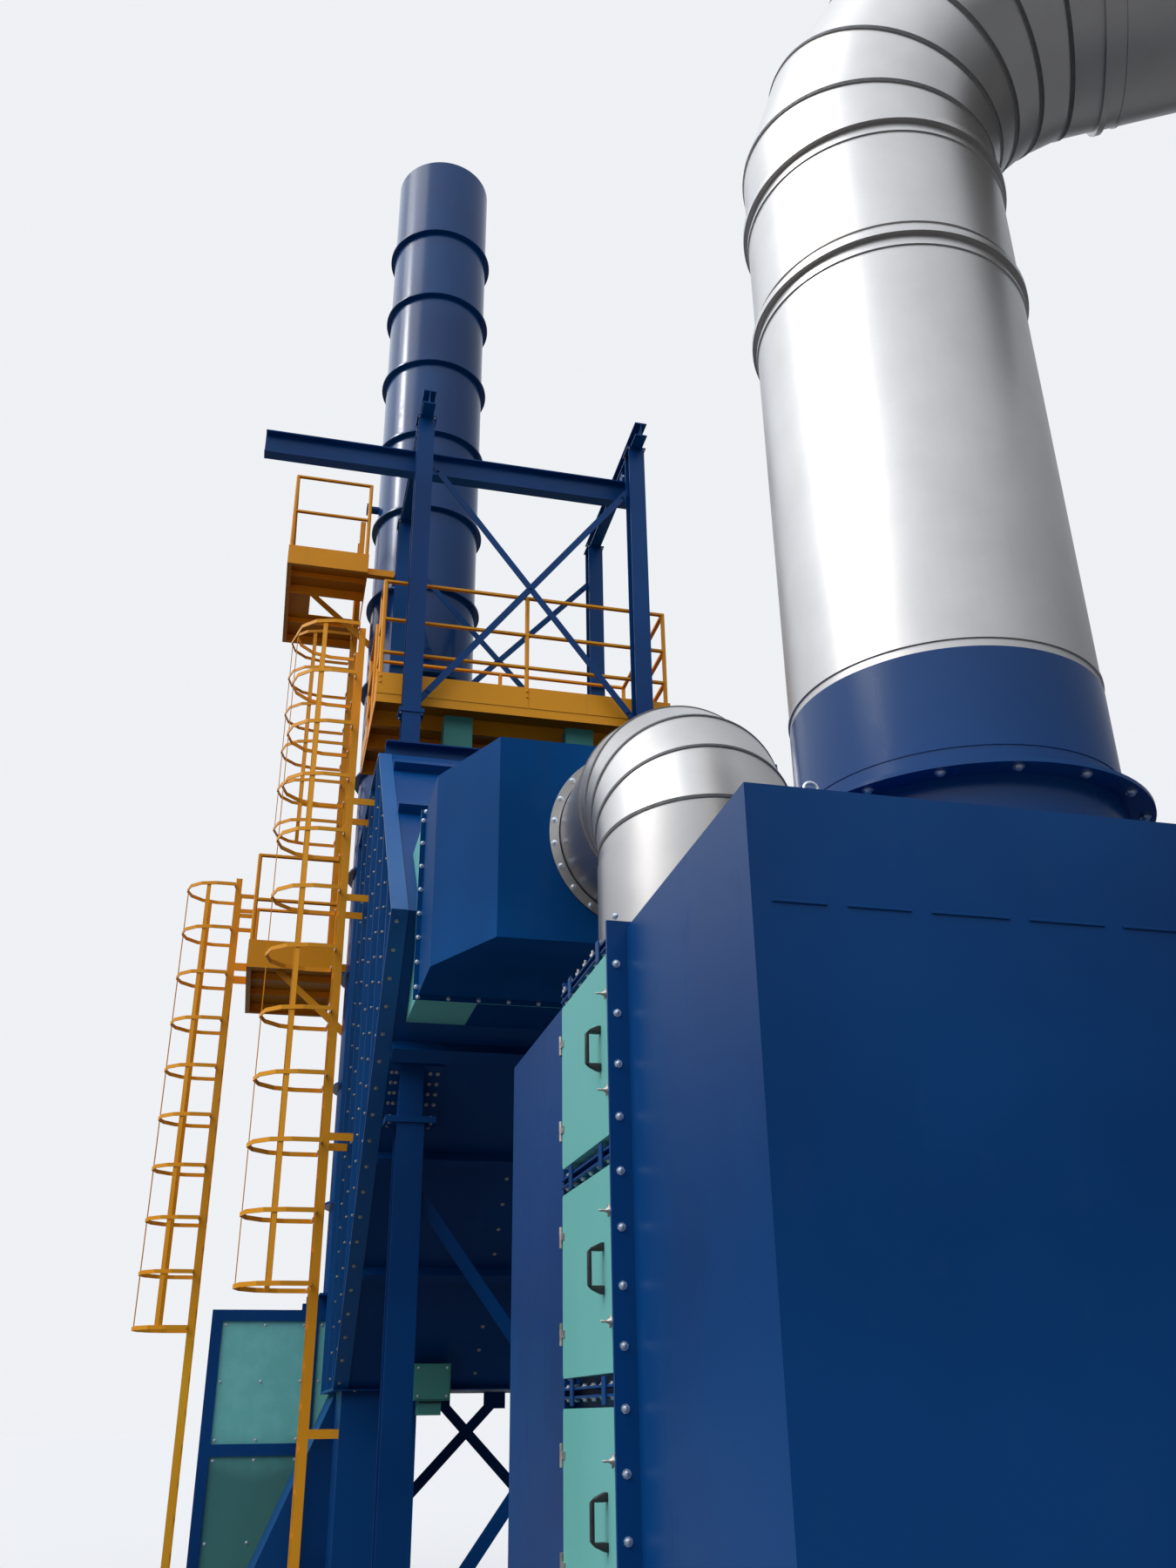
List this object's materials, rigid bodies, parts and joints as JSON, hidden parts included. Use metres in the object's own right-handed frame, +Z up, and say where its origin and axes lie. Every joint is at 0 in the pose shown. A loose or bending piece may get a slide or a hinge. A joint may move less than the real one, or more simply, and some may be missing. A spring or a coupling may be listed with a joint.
{
  "type": "gas absorption scrubber",
  "caption": "Packaged gas scrubbing plant: filter housing with side doors, round inlet duct, crossover bend, folded tower casing, gantry platform, caged ladders and tall stack",
  "frame": {"origin": "underside centre of the front left tower column base plate, on the floor", "axes": "X to the right along the front of the filter housing, Y to the rear towards the stack, Z up"},
  "size_m": [5.7499, 12.6886, 16.8],
  "materials": {
    "black_plastic": "moulded plastic",
    "blue_paint": "semi-gloss paint",
    "duct_steel": "bright rolled stainless sheet",
    "mint_paint": "semi-gloss paint",
    "yellow_paint": "gloss paint"
  },
  "bodies": {
    "plant": {"crossover_elbow": "duct_steel", "crossover_riser": "duct_steel", "fan_enclosure_frame": "blue_paint", "fan_enclosure_panels": "mint_paint", "front_support_frame": "blue_paint", "gantry_beams": "blue_paint", "gantry_columns": "blue_paint", "hood_adapter": "mint_paint", "housing_base_frame": "blue_paint", "housing_filter_section": "blue_paint", "housing_inlet_plenum": "blue_paint", "housing_outlet_plenum": "blue_paint", "inlet_collar": "blue_paint", "inlet_duct_lower": "duct_steel", "inlet_duct_upper": "duct_steel", "inlet_elbow": "duct_steel", "inlet_hood": "blue_paint", "inlet_run": "duct_steel", "junction_box": "mint_paint", "lower_stack_ladder": "yellow_paint", "mid_platform": "yellow_paint", "monorail_beam": "blue_paint", "near_ladder": "yellow_paint", "outlet_duct": "blue_paint", "platform_deck": "yellow_paint", "platform_pads": "mint_paint", "platform_railing": "yellow_paint", "rear_support_frame": "blue_paint", "sampling_platform": "yellow_paint", "stack_lower": "blue_paint", "stack_upper": "blue_paint", "sump_casing": "blue_paint", "tower_casing": "blue_paint", "tower_floor": "blue_paint", "tower_front_ribs": "blue_paint", "tower_roof": "blue_paint", "tower_side_ribs": "blue_paint", "upper_stack_ladder": "yellow_paint"},
    "door_bottom_body": {"door_bottom": "mint_paint", "handle_bottom": "black_plastic"},
    "door_middle_body": {"door_middle": "mint_paint", "handle_middle": "black_plastic"},
    "door_top_body": {"door_top": "mint_paint", "handle_top": "black_plastic"}
  },
  "joints": [
    {"name": "door_bottom_hinge", "type": "hinge", "parent": "plant", "child": "door_bottom_body", "pos_m": [0.215, -3.64, 1.3], "axis": [0, 0, -1], "range_deg": [0, 110]},
    {"name": "door_middle_hinge", "type": "hinge", "parent": "plant", "child": "door_middle_body", "pos_m": [0.215, -3.64, 2.046], "axis": [0, 0, -1], "range_deg": [0, 110]},
    {"name": "door_top_hinge", "type": "hinge", "parent": "plant", "child": "door_top_body", "pos_m": [0.215, -3.64, 2.792], "axis": [0, 0, -1], "range_deg": [0, 110]}
  ]
}
